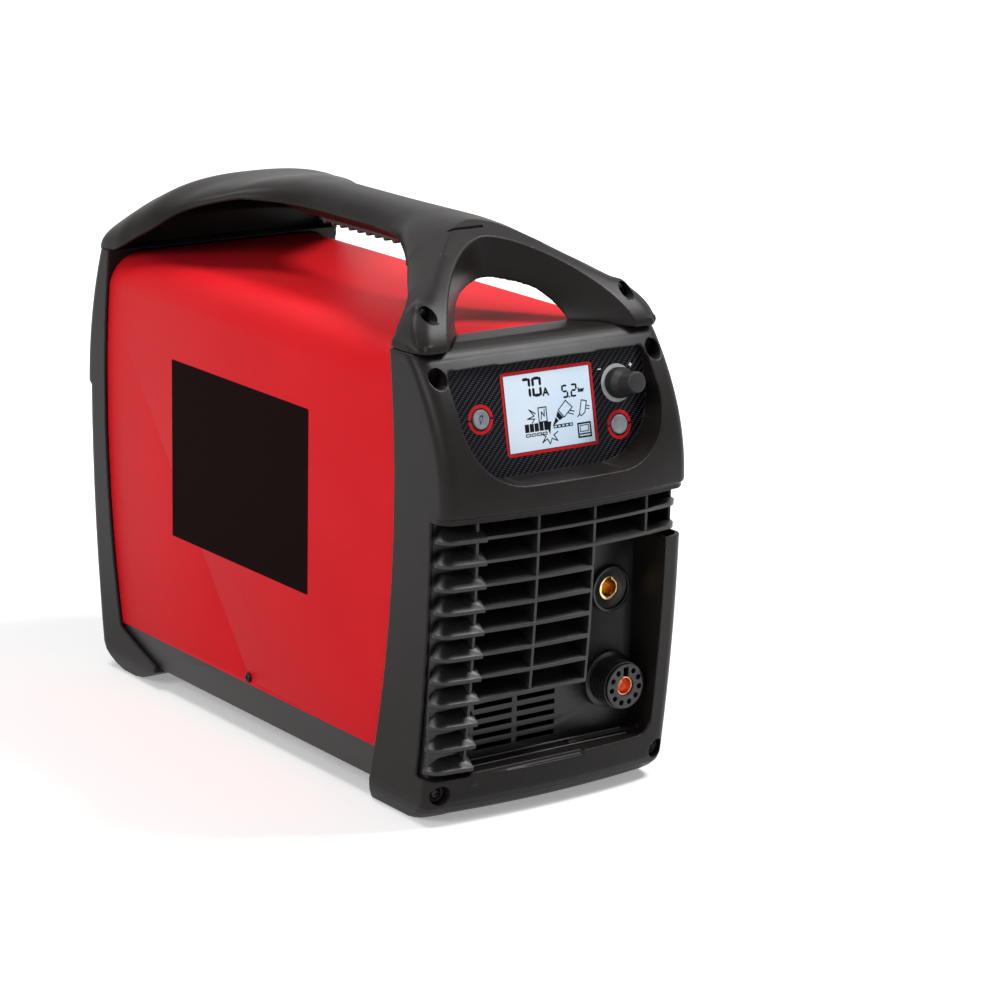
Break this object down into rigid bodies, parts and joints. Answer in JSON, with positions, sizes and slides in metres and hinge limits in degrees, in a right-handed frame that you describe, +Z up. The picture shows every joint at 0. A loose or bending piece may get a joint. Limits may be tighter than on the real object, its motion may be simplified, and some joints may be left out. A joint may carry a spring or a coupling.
{
  "type": "plasma cutter power unit",
  "caption": "Portable inverter plasma cutter power unit: red sheet cover between dark end mouldings, arched carry handle, tilted control panel, louvres, torch and earth sockets.",
  "frame": {"origin": "centre of the bounding box's footprint, on the floor", "axes": "-Y out of the control front, +Y to the back, +Z up, +X towards the socket side"},
  "size_m": [0.22, 0.5272, 0.424],
  "materials": {
    "moulding": "fine moulded texture",
    "grille": "fine moulded texture",
    "red_paint": "smooth satin powder coat",
    "black_paint": "textured powder coat",
    "overlay": "printed film, satin",
    "display": "backlit liquid crystal",
    "circuit_board": "solder resist",
    "zinc": "zinc plated",
    "steel": "turned",
    "black_plastic": "smooth",
    "knob": "smooth, ribbed grip",
    "button": "satin",
    "brass": "machined",
    "copper": "machined copper",
    "aluminium": "extruded",
    "capacitor": "sleeved can",
    "ferrite": "sintered",
    "winding": "enamelled copper, taped",
    "hose": "smooth",
    "red_plastic": "satin"
  },
  "bodies": {
    "unit": {"front_bezel": "moulding", "front_grille": "grille", "connector_panel": "grille", "control_overlay": "overlay", "display_window": "display", "display_module": "zinc", "control_board": "circuit_board", "board_spacers": "zinc", "encoder_body": "zinc", "button_switches": "black_plastic", "earth_socket_body": "black_plastic", "earth_socket_contact": "brass", "earth_socket_nut": "black_plastic", "torch_connector_body": "black_plastic", "torch_connector_contact": "copper", "torch_connector_nut": "black_plastic", "red_cover": "red_paint", "base_tray": "black_paint", "rear_bezel": "moulding", "rear_panel": "black_paint", "fan_frame": "black_plastic", "mains_switch_body": "black_plastic", "cable_gland": "black_plastic", "gland_nut": "black_plastic", "air_inlet": "brass", "air_regulator": "aluminium", "air_valve": "brass", "air_hose": "hose", "handle": "moulding", "handle_insert": "grille", "front_screws": "zinc", "rear_screws": "zinc", "handle_screws": "zinc", "cover_screws": "black_paint", "board_brackets": "zinc", "heatsink": "aluminium", "power_modules": "black_plastic", "power_board": "circuit_board", "capacitors": "capacitor", "transformer_core": "ferrite", "transformer_winding": "winding", "output_choke": "winding", "choke_clamp": "zinc"},
    "knob": {"control_knob": "knob", "encoder_shaft": "steel"},
    "left_button": {"button_left": "button"},
    "right_button": {"button_right": "button"},
    "mains_knob": {"mains_switch_knob": "red_plastic"},
    "fan": {"fan_rotor": "black_plastic"}
  },
  "joints": [
    {"name": "knob_turn", "type": "hinge", "parent": "unit", "child": "knob", "pos_m": [0.064, -0.22151, 0.31074], "axis": [0, -0.9781, 0.2079], "continuous": true},
    {"name": "left_button_press", "type": "slide", "parent": "unit", "child": "left_button", "axis": [0, 0.9781, -0.2079], "range_m": [0, 0.0012], "stiffness_N_per_m": 1200},
    {"name": "right_button_press", "type": "slide", "parent": "unit", "child": "right_button", "axis": [0, 0.9781, -0.2079], "range_m": [0, 0.0012], "stiffness_N_per_m": 1200},
    {"name": "mains_switch_turn", "type": "hinge", "parent": "unit", "child": "mains_knob", "pos_m": [-0.046, 0.235, 0.268], "axis": [0, 1, 0], "range_deg": [0, 90]},
    {"name": "fan_spin", "type": "hinge", "parent": "unit", "child": "fan", "pos_m": [0, 0.215, 0.118], "axis": [0, 1, 0], "continuous": true}
  ]
}
